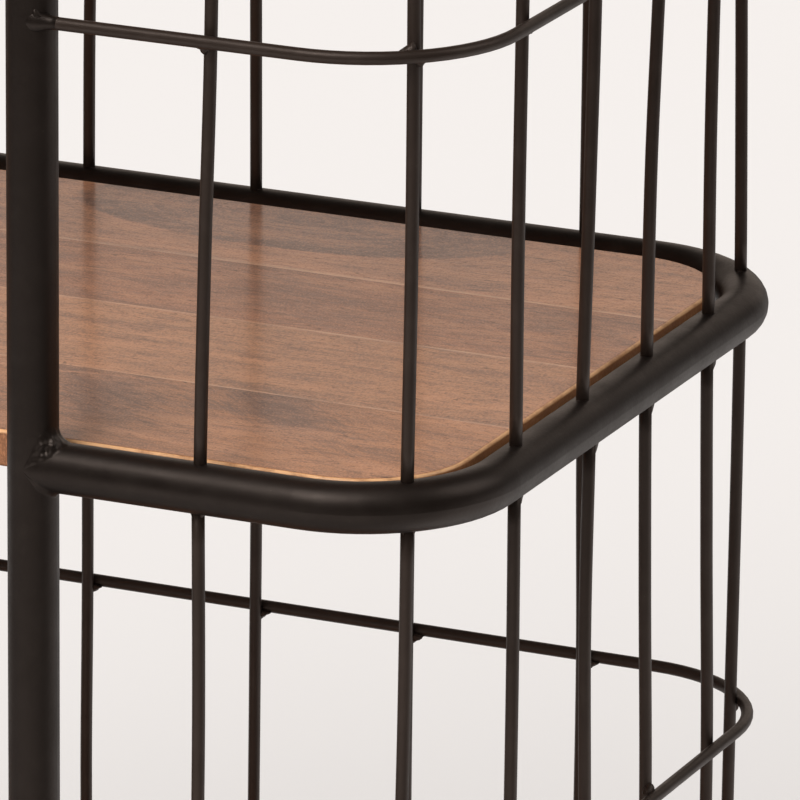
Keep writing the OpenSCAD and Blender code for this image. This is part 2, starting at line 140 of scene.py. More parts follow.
class Graph:
    """A short way to write a node tree. Every value can be a number, a colour or a socket."""

    def __init__(self, tree):
        self.tree = tree
        tree.nodes.clear()

    def add(self, kind, values=None, **props):
        node = self.tree.nodes.new(kind)
        for key, value in props.items():
            setattr(node, key, value)
        for key, value in (values or {}).items():
            self.put(node.inputs[key], value)
        return node

    def put(self, socket, value):
        if isinstance(value, bpy.types.NodeSocket):
            self.tree.links.new(value, socket)
        elif hasattr(value, "__len__") and len(value) == 3 and socket.type == "RGBA":
            socket.default_value = (*value, 1.0)
        else:
            socket.default_value = value

    def math(self, operation, a, b=0.0, clamp=False):
        node = self.add("ShaderNodeMath", {0: a, 1: b}, operation=operation)
        node.use_clamp = clamp
        return node.outputs[0]

    def plus(self, a, b, clamp=False):
        return self.math("ADD", a, b, clamp)

    def minus(self, a, b, clamp=False):
        return self.math("SUBTRACT", a, b, clamp)

    def times(self, a, b):
        return self.math("MULTIPLY", a, b)

    def over(self, a, b):
        return self.math("DIVIDE", a, b)

    def power(self, a, b):
        return self.math("POWER", a, b)

    def centred(self, value, size):
        """A noise value moved to lie about 0, times a size."""
        return self.times(self.minus(value, 0.5), size)

    def length(self, a, b):
        return self.math("SQRT", self.plus(self.times(a, a), self.times(b, b)))

    def turned(self, x, y, lean):
        """The two coordinates of a point on axes that lean by an angle."""
        c, s = math.cos(lean), math.sin(lean)
        return (self.plus(self.times(x, c), self.times(y, s)),
                self.minus(self.times(y, c), self.times(x, s)))

    def split(self, vector):
        return self.add("ShaderNodeSeparateXYZ", {0: vector}).outputs[:]

    def joined(self, x=0.0, y=0.0, z=0.0):
        return self.add("ShaderNodeCombineXYZ", {0: x, 1: y, 2: z}).outputs[0]

    def moved(self, vector, x=0.0, y=0.0, z=0.0):
        values = {0: vector, 1: self.joined(x, y, z)}
        return self.add("ShaderNodeVectorMath", values, operation="ADD").outputs[0]

    def mix(self, fac, a, b):
        return self.add("ShaderNodeMix", {0: fac, 6: a, 7: b}, data_type="RGBA").outputs[2]

    def span(self, value, lo, hi, out_lo=0.0, out_hi=1.0, smooth=False):
        """Turns values from lo to hi into values from out_lo to out_hi, and holds those beyond."""
        node = self.add("ShaderNodeMapRange", {0: value, 1: lo, 2: hi, 3: out_lo, 4: out_hi})
        if smooth:
            node.interpolation_type = "SMOOTHSTEP"
        return node.outputs[0]

    def tint(self, base, colour, value, lo, hi, most=1.0, smooth=False):
        """Lays a colour over the base: none of it where the value is lo, the share `most` at hi."""
        return self.mix(self.span(value, lo, hi, 0.0, most, smooth), base, colour)

    def coords(self):
        """The place of a point in the part's own frame, in metres."""
        return self.add("ShaderNodeTexCoord").outputs["Object"]

    def scaled(self, vector, scale):
        return self.add("ShaderNodeMapping", {0: vector, 3: scale}).outputs[0]

    def noise(self, vector, scale, detail, rough=0.5, distort=0.0):
        values = {"Vector": vector, "Scale": scale, "Detail": detail, "Roughness": rough,
                  "Distortion": distort}
        return self.add("ShaderNodeTexNoise", values).outputs[0]

    def streaks(self, vector, along, across, detail, rough, distort=0.0):
        """Noise with its own scale along the grain, which is X, and across it."""
        return self.noise(self.scaled(vector, (along, across, across)), 1.0, detail, rough, distort)

    def cells(self, vector, scale):
        return self.add("ShaderNodeTexVoronoi", {"Vector": vector, "Scale": scale})

    def bump(self, height, strength, distance):
        values = {"Strength": strength, "Distance": distance, "Height": height}
        return self.add("ShaderNodeBump", values).outputs[0]


def material(name):
    """A new material with its node tree and its shader."""
    mat = bpy.data.materials.new(name)
    mat.use_nodes = True
    graph = Graph(mat.node_tree)
    shader = graph.add("ShaderNodeBsdfPrincipled")
    graph.add("ShaderNodeOutputMaterial", {0: shader.outputs[0]})
    return mat, graph, shader


# Paint

# The deep tone, the worn tone and the chalky tone of the tubes' paint, and of the wires' browner one,
# which is also made lighter to paint in the light that the wires catch
TUBE_PAINT = ((0.0030, 0.0019, 0.0014), (0.0050, 0.0033, 0.0026), (0.010, 0.0076, 0.0062))
WIRE_PAINT_PAINTED_LIGHTER = ((0.0125, 0.0080, 0.0060), (0.0175, 0.0115, 0.0088), (0.025, 0.0178, 0.0144))
PAINT_DUST = (0.09, 0.078, 0.066)
PAINT_SHEEN = (1.0, 0.82, 0.73, 1.0)


def black_paint(name, tones):
    """Satin black paint: two tones in clouds, a chalky mottle, dust, orange peel and runs."""
    mat, g, s = material(name)
    p = g.coords()
    deep, worn, chalk = tones
    cloud = g.noise(p, 9.0, 4.0, 0.55)
    runs = g.noise(p, 60.0, 2.0, 0.5)
    mottle = g.noise(p, 70.0, 3.0, 0.6)
    specks = g.cells(p, 260.0).outputs[0]
    peel = g.noise(p, 420.0, 2.0, 0.5)
    grit = g.noise(p, 900.0, 2.0, 0.55)

    base = g.tint(deep, worn, cloud, 0.35, 0.7)
    base = g.tint(base, chalk, mottle, 0.5, 0.8, 0.5)
    dust = g.times(g.span(specks, 0.10, 0.04), g.span(mottle, 0.56, 0.66))
    base = g.mix(g.times(dust, 0.35), base, PAINT_DUST)
    g.put(s.inputs["Base Color"], base)

    # duller in patches, and where the surface turns away
    rough = g.span(g.noise(p, 34.0, 5.0, 0.6), 0.3, 0.7, 0.38, 0.50)
    rough = g.plus(rough, g.span(grit, 0.3, 0.7, -0.03, 0.03))
    facing = g.add("ShaderNodeLayerWeight", {"Blend": 0.5}).outputs["Facing"]
    rough = g.plus(rough, g.times(g.power(facing, 3.0), 0.16), True)
    g.put(s.inputs["Roughness"], rough)
    s.inputs["Specular IOR Level"].default_value = 0.60
    s.inputs["Specular Tint"].default_value = PAINT_SHEEN

    height = g.plus(g.plus(g.times(peel, 0.25), runs), g.times(grit, 0.10))
    g.put(s.inputs["Normal"], g.bump(height, 0.35, 0.0006))
    return mat


# Wood

# Where the staves of a board meet, from the front
STAVES = (-0.098, 0.010, 0.1035)

# For each shelf from the bottom, its four staves from the front: the stave's colour, then the
# middle and the half sizes of the nest of growth rings that its figure is cut from, and the slope
# of its grain
FIGURES = (
    (
        ((0.225, 0.100, 0.053), 0.180, -0.120, 0.31, 0.046, 0.02),
        ((0.185, 0.077, 0.042), -0.120, -0.030, 0.40, 0.060, -0.03),
        ((0.255, 0.116, 0.061), 0.420, 0.090, 0.33, 0.052, 0.04),
        ((0.200, 0.086, 0.047), -0.050, 0.200, 0.28, 0.045, 0.00),
    ),
    (
        ((0.272, 0.110, 0.043), 0.330, -0.215, 0.16, 0.060, -0.05),
        ((0.318, 0.145, 0.068), 0.150, -0.060, 0.55, 0.085, 0.02),
        ((0.262, 0.103, 0.046), 0.300, 0.062, 0.34, 0.055, -0.04),
        ((0.375, 0.166, 0.084), 0.238, 0.192, 0.123, 0.054, 0.00),
    ),
    (
        ((0.195, 0.082, 0.045), -0.200, -0.170, 0.30, 0.050, 0.03),
        ((0.250, 0.112, 0.060), 0.250, -0.020, 0.38, 0.046, -0.02),
        ((0.212, 0.091, 0.050), -0.330, 0.040, 0.26, 0.060, 0.05),
        ((0.240, 0.107, 0.058), 0.100, 0.130, 0.42, 0.050, -0.02),
    ),
    (
        ((0.250, 0.113, 0.060), 0.050, -0.200, 0.36, 0.055, 0.01),
        ((0.198, 0.084, 0.046), 0.380, -0.060, 0.30, 0.048, 0.04),
        ((0.232, 0.103, 0.055), -0.100, 0.100, 0.44, 0.060, -0.03),
        ((0.190, 0.079, 0.043), -0.380, 0.170, 0.27, 0.050, 0.02),
    ),
)

# How far apart in the noise two staves and two boards are, so that each has its own grain
STAVE_SHIFT = (1.93, 0.71, 0.37)
BOARD_SHIFT = 3.7

# How much of its growth rings' dark and pale bands a board shows
BANDS_SEEN = [0.45 if level == PHOTOGRAPHED else 1.0 for level in range(LEVELS)]

# Each glue line: its place, the side on which it has pale sapwood, and that strip's greatest width
GLUE_LINES = ((STAVES[0], 1.0, 0.0032), (STAVES[1], -1.0, 0.0042), (STAVES[2], 1.0, 0.0065))
GLUE_SLACK = 0.0002
SAPWOOD_LEAST = 0.0022

# The eye on the back stave of the photographed board: its middle and its half sizes
EYE = (0.238, 0.192, 0.125, 0.055)
# Over which X the eye's rim gets fainter, and over which the board's right end is painted paler, which
# is painted light from the right
EYE_FADE = (0.26, 0.35)
RIGHT_END_LIGHT_SPAN = (0.32, 0.47)

# The dark flames on that board: middle, half sizes, lean of the long side, strength and stave
Flame = namedtuple("Flame", "x y half_x half_y lean depth stave")
FLAMES = (
    Flame(0.268, -0.112, 0.044, 0.024, -0.50, 0.88, "front"),
    Flame(0.284, -0.160, 0.042, 0.024, -0.30, 0.80, "front"),
    Flame(0.374, -0.124, 0.056, 0.020, -0.72, 0.86, "front"),
    Flame(0.388, -0.148, 0.028, 0.014, 0.10, 0.60, "front"),
    Flame(0.262, 0.092, 0.060, 0.016, -0.20, 0.34, "third"),
    Flame(0.300, 0.050, 0.085, 0.026, -0.10, 0.26, "third"),
    Flame(0.455, 0.068, 0.045, 0.012, -0.30, 0.36, "third"),
    Flame(0.318, 0.168, 0.030, 0.018, 0.90, 0.30, "back"),
    Flame(0.402, 0.160, 0.040, 0.010, 0.60, 0.22, "back"),
)

WOOD_DARK = (0.098, 0.047, 0.032)
WOOD_PALE = (0.315, 0.150, 0.084)
BAND_PALE = (0.460, 0.205, 0.100)
CLOUD_PALE = (0.440, 0.195, 0.095)
FLECK_DARK = (0.085, 0.040, 0.027)
FLECK_PALE = (0.450, 0.205, 0.104)
HAIR = (0.060, 0.028, 0.019)
PORE = (0.045, 0.020, 0.014)
SAPWOOD = (0.560, 0.335, 0.210)
KNOT = (0.028, 0.013, 0.009)
END_DARK = (0.210, 0.086, 0.034)
END_PALE = (0.450, 0.195, 0.080)
# the colour of the painted highlight along the boards' eased edges
PAINTED_EDGE_HIGHLIGHT = (0.680, 0.385, 0.190)
EYE_FIELD = (0.235, 0.122, 0.080)
EYE_RIM = (0.092, 0.049, 0.035)
EYE_RING = (0.070, 0.037, 0.026)
EYE_HALO = (0.400, 0.190, 0.100)
FLAME_DARK = (0.088, 0.043, 0.030)
FLAME_LINE = (0.055, 0.026, 0.019)
# the colour of the painted light on the right end of the photographed board
PAINTED_LIGHT_RIGHT_END = (0.510, 0.222, 0.098)


def wood(level):
    """Four staves glued edge to edge, each with its own nest of growth rings along X."""
    mat, g, s = material("lacquered_wood_%d" % (level + 1))
    p = g.coords()
    x, y, _ = g.split(p)
    steps = [g.math("GREATER_THAN", y, edge) for edge in STAVES]
    number = g.plus(g.plus(steps[0], steps[1]), steps[2])

    shift = [g.times(number, size) for size in STAVE_SHIFT]
    place = g.moved(p, g.plus(shift[X], BOARD_SHIFT * level), shift[Y], shift[Z])
    wide = g.streaks(place, 6.0, 21.0, 2.0, 0.5)
    fine = g.streaks(place, 26.0, 85.0, 3.0, 0.55)

    colours, *shapes = zip(*FIGURES[level])
    base = colours[0]
    for step, colour in zip(steps, colours[1:]):
        base = g.mix(step, base, colour)
    if level == PHOTOGRAPHED:
        base = photographed_figure(g, base, x, y, wide, fine)
    nest = ring_nest(g, x, y, [by_stave(g, steps, values) for values in shapes], wide, fine)
    base = growth_rings(g, base, nest, number, fine, level)
    base = mottling(g, base, place)
    base, hairs, pores = open_grain(g, base, place, wide)
    base = sapwood_lines(g, base, place, y, wide)
    base = pin_knots(g, base, place, pores)
    base = end_grain_and_painted_edge_highlight(g, base, p)
    g.put(s.inputs["Base Color"], base)
    lacquer(g, s, p, hairs, pores)
    return mat


def by_stave(g, steps, values):
    """The value of the stave that a point lies in, out of one value for each stave."""
    value = values[0]
    for step, low, high in zip(steps, values, values[1:]):
        value = g.plus(value, g.times(step, high - low))
    return value


def ring_nest(g, x, y, shape, wide, fine):
    """How far out in the nest of growth rings of its stave a point lies: 1 on the given ellipse."""
    mid_x, mid_y, half_x, half_y, slope = shape
    drift = g.minus(x, mid_x)
    rise = g.minus(g.minus(y, mid_y), g.times(drift, slope))
    nest = g.length(g.over(drift, half_x), g.over(rise, half_y))
    return g.plus(g.plus(nest, g.centred(wide, 0.55)), g.centred(fine, 0.10))


def growth_rings(g, base, nest, number, fine, level):
    """Dark and pale bands along the rings, and the fine dark lines of late wood between them."""
    seen = BANDS_SEEN[level]
    band = g.noise(g.joined(g.times(nest, 2.3), number, 5.0 * level + 0.5), 1.0, 3.0, 0.6)
    base = g.tint(base, WOOD_DARK, band, 0.50, 0.72, 0.60 * seen, True)
    base = g.tint(base, WOOD_PALE, band, 0.46, 0.26, 0.50 * seen, True)
    late = g.power(g.math("FRACT", g.plus(g.times(nest, 9.0), g.times(fine, 0.5))), 3.0)
    base = g.mix(g.times(late, 0.26), base, WOOD_DARK)
    lines = g.power(g.math("FRACT", g.times(nest, 31.0)), 2.0)
    return g.mix(g.times(lines, 0.12), base, WOOD_DARK)


def mottling(g, base, place):
    """Slow bands, clouds and flecks, each both darker and paler than the stave."""
    slow = g.streaks(place, 7.0, 40.0, 3.0, 0.6, 0.6)
    base = g.tint(base, WOOD_DARK, slow, 0.50, 0.68, 0.46)
    base = g.tint(base, BAND_PALE, slow, 0.49, 0.32, 0.50)
    cloud = g.streaks(place, 40.0, 110.0, 4.0, 0.65)
    base = g.tint(base, WOOD_DARK, cloud, 0.50, 0.72, 0.42)
    base = g.tint(base, CLOUD_PALE, cloud, 0.48, 0.26, 0.42)
    fleck = g.streaks(place, 1000.0, 620.0, 2.0, 0.6)
    base = g.tint(base, FLECK_DARK, fleck, 0.50, 0.70, 0.46)
    return g.tint(base, FLECK_PALE, fleck, 0.50, 0.30, 0.46)


def open_grain(g, base, place, wide):
    """Thin dark lines and sparse open pores, which sway across the board. Gives their noises too."""
    flow = g.moved(place, y=g.centred(wide, 0.045))
    hairs = g.streaks(flow, 34.0, 520.0, 3.0, 0.7, 0.4)
    base = g.tint(base, HAIR, hairs, 0.56, 0.68, 0.52)
    pores = g.streaks(flow, 230.0, 900.0, 2.0, 0.6, 0.3)
    return g.tint(base, PORE, pores, 0.62, 0.70, 0.60), hairs, pores


def sapwood_lines(g, base, place, y, wide):
    """A pale line of sapwood beside each glue line."""
    worn = g.span(g.streaks(place, 16.0, 3.0, 2.0, 0.5), 0.36, 0.62, 0.18, 0.66)
    for edge, way, most in GLUE_LINES:
        near = g.times(g.minus(y, edge - way * GLUE_SLACK), way)
        width = g.span(wide, 0.3, 0.7, SAPWOOD_LEAST, most)
        strip = g.times(g.span(near, -0.0002, 0.0003), g.minus(1.0, g.over(near, width), True))
        base = g.mix(g.times(strip, worn), base, SAPWOOD)
    return base


def pin_knots(g, base, place, pores):
    """A pin knot here and there, with a ragged rim."""
    ragged = g.plus(g.cells(place, 6.5).outputs[0], g.centred(pores, 0.006))
    return g.tint(base, KNOT, ragged, 0.0105, 0.0065, 0.9)


def end_grain_and_painted_edge_highlight(g, base, p):
    """End grain on the two ends, and a painted highlight along the eased edges, broken in patches."""
    nx, _, nz = g.split(g.add("ShaderNodeNewGeometry").outputs["Normal"])
    grain = g.mix(g.noise(p, 700.0, 2.0), END_DARK, END_PALE)
    base = g.tint(base, grain, g.math("ABSOLUTE", nx), 0.55, 0.9, 0.7)
    # painted highlight: the eased edges, where the top turns to the sides, are painted pale
    edge_highlight_mask = g.times(g.span(nz, 0.985, 0.90), g.span(nz, 0.10, 0.45))
    patchy = g.span(g.noise(g.scaled(p, (90.0, 90.0, 200.0)), 1.0, 3.0, 0.6), 0.34, 0.56, 0.35, 1.0)
    return g.mix(g.times(g.times(edge_highlight_mask, patchy), 0.85), base, PAINTED_EDGE_HIGHLIGHT)


def lacquer(g, s, p, hairs, pores):
    """A thin coat that lies in slow waves over the wood's own relief."""
    g.put(s.inputs["Roughness"], g.span(pores, 0.3, 0.7, 0.42, 0.56))
    s.inputs["Specular IOR Level"].default_value = 0.15
    s.inputs["Coat Weight"].default_value = 0.43
    s.inputs["Coat Roughness"].default_value = 0.17
    s.inputs["Coat IOR"].default_value = 1.5
    relief = g.plus(g.times(pores, 0.6), hairs)
    g.put(s.inputs["Normal"], g.bump(relief, 0.25, 0.0003))
    waves = g.plus(g.noise(p, 14.0, 2.0), g.times(relief, 0.05))
    g.put(s.inputs["Coat Normal"], g.bump(waves, 0.16, 0.002))


def ellipse(g, x, y, mid_x, mid_y, half_x, half_y, lean=0.0):
    """The distance from a middle, 1 on an ellipse whose first half size leans by an angle."""
    along, across = g.turned(g.minus(x, mid_x), g.minus(y, mid_y), lean)
    return g.length(g.over(along, half_x), g.over(across, half_y))


def photographed_figure(g, base, x, y, wide, fine):
    """What the photographed board shows: an eye at the back, flames, and a right end painted paler,
    which is painted light from the right, most on the back stave.
    """
    stir = g.plus(g.centred(wide, 0.5), g.centred(fine, 0.22))
    zones = {
        "front": g.math("LESS_THAN", y, STAVES[0]),
        "third": g.times(g.math("GREATER_THAN", y, STAVES[1]), g.math("LESS_THAN", y, STAVES[2])),
        "back": g.math("GREATER_THAN", y, STAVES[2]),
    }
    base = dark_eye(g, base, x, y, stir, zones["back"])
    for flame in FLAMES:
        base = dark_flame(g, base, x, y, stir, flame, zones[flame.stave])
    # painted light: the right end is made paler, as if lit from the right, and more so on the back stave
    painted_light_share = g.plus(g.times(zones["back"], 0.42), 0.22)
    return g.mix(g.times(g.span(x, *RIGHT_END_LIGHT_SPAN, 0.0, 1.0, True), painted_light_share), base, PAINTED_LIGHT_RIGHT_END)


def dark_eye(g, base, x, y, stir, zone):
    """An eye of growth rings with a dark rim, fainter to the right, and a pale halo round it."""
    eye = g.plus(ellipse(g, x, y, *EYE), g.times(stir, 0.22))
    inside = g.times(g.span(eye, 1.05, 0.98, 0.0, 1.0, True), zone)
    base = g.mix(g.times(inside, 0.85), base, EYE_FIELD)
    rim = g.times(g.span(eye, 0.70, 0.93, 0.0, 1.0, True), inside)
    rim = g.times(rim, g.span(x, *EYE_FADE, 1.0, 0.45, True))
    base = g.mix(g.times(rim, 0.70), base, EYE_RIM)
    ring = g.power(g.math("FRACT", g.times(eye, 9.0)), 2.0)
    base = g.mix(g.times(g.times(ring, inside), 0.42), base, EYE_RING)
    halo = g.times(g.span(eye, 1.02, 1.10), g.times(zone, g.span(eye, 1.9, 1.1)))
    return g.mix(g.times(halo, 0.50), base, EYE_HALO)


def dark_flame(g, base, x, y, stir, flame, zone):
    """A dark spot with lines along its lean that reach a little beyond it."""
    far = ellipse(g, x, y, flame.x, flame.y, flame.half_x, flame.half_y, flame.lean)
    far = g.plus(far, g.times(stir, 2.2))
    spot = g.times(g.span(far, 1.25, 0.15, 0.0, flame.depth, True), zone)
    base = g.mix(spot, base, FLAME_DARK)
    along, across = g.turned(x, y, flame.lean)
    line = g.noise(g.joined(g.times(along, 40.0), g.times(across, 480.0), flame.x), 1.0, 2.0, 0.5, 0.4)
    near = g.times(g.span(far, 2.0, 0.8, 0.0, flame.depth, True), zone)
    return g.mix(g.times(near, g.span(line, 0.50, 0.62, 0.0, 0.85)), base, FLAME_LINE)


# Metal and rubber

ZINC_HARDWARE = (0.62, 0.62, 0.60)
ZINC_CASTOR = (0.58, 0.58, 0.56)
ZINC_GLEAM = 1.12
ZINC_DULL = (0.80, 0.77, 0.68)
IRON_DARK = (0.050, 0.053, 0.056)
IRON_PALE = (0.075, 0.078, 0.080)
IRON_GRAIN = (0.14, 0.14, 0.14)
RUBBER = (0.013, 0.013, 0.014)
RUBBER_DUST = (0.050, 0.047, 0.043)


def zinc(name, colour, rough):
    """Zinc plate: faint spangle, fine brushing and dull spots."""
    mat, g, s = material(name)
    p = g.coords()
    spangle = g.cells(p, 240.0)
    tone = g.add("ShaderNodeSeparateColor", {0: spangle.outputs["Color"]}).outputs[0]
    dull = g.noise(p, 45.0, 4.0, 0.6)
    pale = tuple(min(1.0, c * ZINC_GLEAM) for c in colour)
    warm = tuple(c * share for c, share in zip(colour, ZINC_DULL))
    base = g.mix(g.times(tone, 0.5), colour, pale)
    base = g.tint(base, warm, dull, 0.5, 0.75, 0.6)
    g.put(s.inputs["Base Color"], base)
    s.inputs["Metallic"].default_value = 1.0
    g.put(s.inputs["Roughness"], g.span(dull, 0.3, 0.7, rough - 0.06, rough + 0.12))
    brush = g.noise(g.scaled(p, (1.0, 1.0, 9.0)), 260.0, 2.0, 0.6)
    g.put(s.inputs["Normal"], g.bump(brush, 0.12, 0.0004))
    return mat


def cast_core():
    """Dark cast iron with a fine grain."""
    mat, g, s = material("cast_core")
    p = g.coords()
    grain = g.noise(p, 900.0, 2.0, 0.7)
    cloud = g.noise(p, 30.0, 4.0, 0.6)
    base = g.tint(IRON_DARK, IRON_PALE, cloud, 0.3, 0.7)
    base = g.tint(base, IRON_GRAIN, grain, 0.6, 0.8, 0.4)
    g.put(s.inputs["Base Color"], base)
    g.put(s.inputs["Roughness"], g.span(cloud, 0.3, 0.7, 0.42, 0.60))
    g.put(s.inputs["Normal"], g.bump(grain, 0.35, 0.0004))
    return mat


def tyre_rubber():
    """Black rubber with dust in patches."""
    mat, g, s = material("tyre_rubber")
    p = g.coords()
    dust = g.noise(p, 55.0, 5.0, 0.65)
    fine = g.noise(p, 1200.0, 2.0, 0.6)
    base = g.tint(RUBBER, RUBBER_DUST, dust, 0.45, 0.75, 0.7)
    g.put(s.inputs["Base Color"], base)
    g.put(s.inputs["Roughness"], g.span(dust, 0.3, 0.7, 0.62, 0.82))
    s.inputs["Specular IOR Level"].default_value = 0.35
    g.put(s.inputs["Normal"], g.bump(fine, 0.3, 0.0003))
    return mat


def make_materials():
    """Every material, by the slot that it is for. Wood has one for each board."""
    return {
        "black_paint": black_paint("black_paint", TUBE_PAINT),
        # the wires get a lighter copy of the black paint, which is painted light
        "wire_paint_painted_lighter": black_paint("wire_paint_painted_lighter", WIRE_PAINT_PAINTED_LIGHTER),
        "wood": [wood(level) for level in range(LEVELS)],
        "zinc_hardware": zinc("zinc_hardware", ZINC_HARDWARE, 0.30),
        "zinc_castor": zinc("zinc_castor", ZINC_CASTOR, 0.34),
        "cast_core": cast_core(),
        "tyre_rubber": tyre_rubber(),
    }


def dress(materials):
    """Gives each CAD node its finish, by the slot that the record names and the node's own name."""
    slots = {row["node"]: row["material_slot"] for row in frame["record"]["subparts"]}
    for name, obj in frame["nodes"].items():
        slot = slots[name]
        if slot == "lacquered_wood":
            mat = materials["wood"][int(name[-1]) - 1]
        elif name.startswith("tier_hoop"):
            # the hoops take the wires' lighter copy of the paint, which is painted light
            mat = materials["wire_paint_painted_lighter"]
        else:
            mat = materials[slot]
        obj.data.materials.clear()
        obj.data.materials.append(mat)


# Shapes that wires and welds are made of

def skin(bm, rows):
    """Joins closed rows of points into a solid with two flat ends."""
    count = len(rows[0])
    for low, high in zip(rows, rows[1:]):
        for k in range(count):
            bm.faces.new((low[k], low[(k + 1) % count], high[(k + 1) % count], high[k]))
    bm.faces.new(list(reversed(rows[0])))
    bm.faces.new(rows[-1])


def sweep(bm, path, radii, sides=16, up=UP):
    """Adds a closed bar of changing thickness; each radius is one number or (across, along up)."""
    rows = []
    for i, point in enumerate(path):
        ahead = path[min(i + 1, len(path) - 1)] - path[max(i - 1, 0)]
        ahead.normalize()
        across = ahead.cross(up).normalized()
        lift = across.cross(ahead).normalized()
        r = radii[i] if hasattr(radii, "__len__") else radii
        rx, rz = r if hasattr(r, "__len__") else (r, r)
        turns = [2 * math.pi * k / sides for k in range(sides)]
        rows.append([bm.verts.new(point + across * (rx * math.cos(a)) + lift * (rz * math.sin(a)))
                     for a in turns])
    skin(bm, rows)


# How much of a lump's reach is left behind its corner, inside the two pieces that it joins
LUMP_BEHIND = 0.35


def lobe(bm, corner, along, down, side, power, ripple=0.10):
    """Adds a lump of weld that fills a corner: it reaches out by the lengths of the three vectors."""
    seed = Vector((dice.uniform(0, 50), dice.uniform(0, 50), dice.uniform(0, 50)))
    made = bmesh.ops.create_icosphere(bm, subdivisions=3, radius=1.0)
    for v in made["verts"]:
        a, b, c = v.co
        shape = 1.0
        if a > 0 and b > 0:
            shape = math.hypot(a, b) / (a ** power + b ** power) ** (1 / power)
        wave = 1.0 + ripple * noise.noise(v.co * 2.2 + seed) * 2.0
        a, b, c = a * shape * wave, b * shape * wave, c * wave
        if a < 0:
            a *= LUMP_BEHIND
        if b < 0:
            b *= LUMP_BEHIND
        v.co = corner + along * a + down * b + side * c


# How far apart the sections of a bead are, and how far its ripple turns from one to the next
BEAD_STEP = 0.0009
BEAD_TURN = 1.9
BEAD_SIDES = 12


def bead(bm, start, end, r):
    """A short run of weld with the ripples of its drops."""
    steps = max(8, int((end - start).length / BEAD_STEP))
    path, radii = [], []
    for i in range(steps + 1):
        t = i / steps
        path.append(start.lerp(end, t))
        cap = min(1.0, math.sin(math.pi * min(max(t, 0.02), 0.98)) * 3.2)
        radii.append(r * cap * (1.0 + 0.10 * math.sin(i * BEAD_TURN) + 0.10 * dice.uniform(-1, 1)))
    sweep(bm, path, radii, BEAD_SIDES)


def finish_piece(bm, name, nodes=(), paint="black_paint"):
    """Makes a piece of the welded trolley that replaces the named CAD nodes, if there are any."""
    bmesh.ops.recalc_face_normals(bm, faces=bm.faces)
    mesh = bpy.data.meshes.new(name)
    bm.to_mesh(mesh)
    bm.free()
    for face in mesh.polygons:
        face.use_smooth = True
    obj = bpy.data.objects.new(name, mesh)
    bpy.context.scene.collection.objects.link(obj)
    mesh.materials.append(materials[paint])
    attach(obj, "trolley")
    if nodes:
        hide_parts(*nodes)


# Wires

# How far each wire of the right side strays along the ring, in mm, at five heights
# from the lower ring to the upper one: the front wire first, then round to the back
RIGHT_STRAY = {
    1: ((-1.0, -1.8, -2.2, -1.5, -2.1), (-2.0, -2.8, -2.5, -0.8, -0.1),
        (-1.0, -2.0, -2.2, -1.4, -2.2), (7.0, 9.5, 10.2, 6.0, 8.0),
        (4.5, 6.5, 6.4, 0.4, -3.9), (4.0, 6.0, 5.7, -0.7, -5.6), (-3.0, -4.5, -5.7, -7.3, -7.6)),
    2: ((-1.2, 0.9, 3.9, 4.5, 3.0), (-0.4, 0.7, 0.7, 0.2, -0.5),
        (-1.2, -1.8, -0.6, 1.0, 1.5), (-2.4, 2.5, 6.4, 5.5, 2.5),
        (-3.2, -1.8, 5.4, 7.0, 4.0), (-4.9, -6.6, -4.8, -1.5, 0.5), (-7.2, -1.9, 4.3, 5.0, 2.5)),
}
# The same for the four back wires nearest the photographed corner, along +X
BACK_STRAY = {
    1: ((-1.0, -2.0, -1.0, -0.9, -1.1), (2.0, 3.0, 3.5, 4.0, 4.8), (-2.0, -3.0, -3.0, -2.7, -2.0),
        (1.0, 2.0, 2.2, 0.4, 0.1)),
    2: ((0.1, 0.9, 4.5, 3.5, 1.0), (2.7, 2.1, 1.4, 1.0, 0.5), (-1.0, -1.0, -1.0, -0.5, 0.5),
        (0.0, 0.0, -0.4, -1.0, -0.5)),
}
# Which back wire has the first of these, counted from 0 at the left
BACK_STRAY_FROM = 5

# How far any other wire strays at most at one of its five heights, in mm
SMALL_STRAY = 1.8
STRAY_HEIGHTS = 5

# How far from a ring's middle line, inside its tube, a wire ends and the welds start
WIRE_END = 0.0105
UNDER_WELD = 0.0112
TOP_WELD = 0.0116
WIRE_STEPS = 24

# A lump of weld beside a wire: where its corner is, along the ring and outward from the wire's
# middle line, and how far it reaches along the ring, down the wire and outward
Lump = namedtuple("Lump", "start out along down side power")
HEAVY_LUMP = Lump(0.0020, 0.0004, 0.0095, 0.0105, 0.0029, 1.05)
HEAVY_HEEL = Lump(-0.0024, 0.0, -0.0020, 0.0034, 0.0026, 0.9)
LIGHT_LUMP = Lump(0.0026, 0.0, 0.0026, 0.0042, 0.0030, 0.8)
LIGHT_HEEL = Lump(-0.0026, 0.0, -0.0020, 0.0034, 0.0030, 0.8)
TOP_LUMP = Lump(0.0024, -0.0006, 0.0013, -0.0019, 0.0022, 0.85)
CROSSING_LUMP = Lump(0.55 * WIRE_R, 0.9 * WIRE_R, 0.0062, 0.0042, 0.0028, 0.95)
CROSSING_DROP = 0.8 * WIRE_R
CROSSING_RIPPLE = 0.14


def side_point(s):
    """A point and the tangent of the right side's line, at the station s."""
    a, way = abs(s), (-1.0 if s < 0 else 1.0)
    if a <= SIDE_FLAT:
        return Vector((SIDE_X, s, 0.0)), Vector((0.0, 1.0, 0.0))
    if a <= SIDE_FLAT + CORNER_ARC:
        bend = (a - SIDE_FLAT) / BEND_R
        x = SIDE_X - BEND_R + BEND_R * math.cos(bend)
        y = way * (SIDE_FLAT + BEND_R * math.sin(bend))
        return Vector((x, y, 0.0)), Vector((-way * math.sin(bend), math.cos(bend), 0.0))
    run = a - SIDE_FLAT - CORNER_ARC
    return Vector((SIDE_X - BEND_R - run, way * BACK_Y, 0.0)), Vector((-way, 0.0, 0.0))


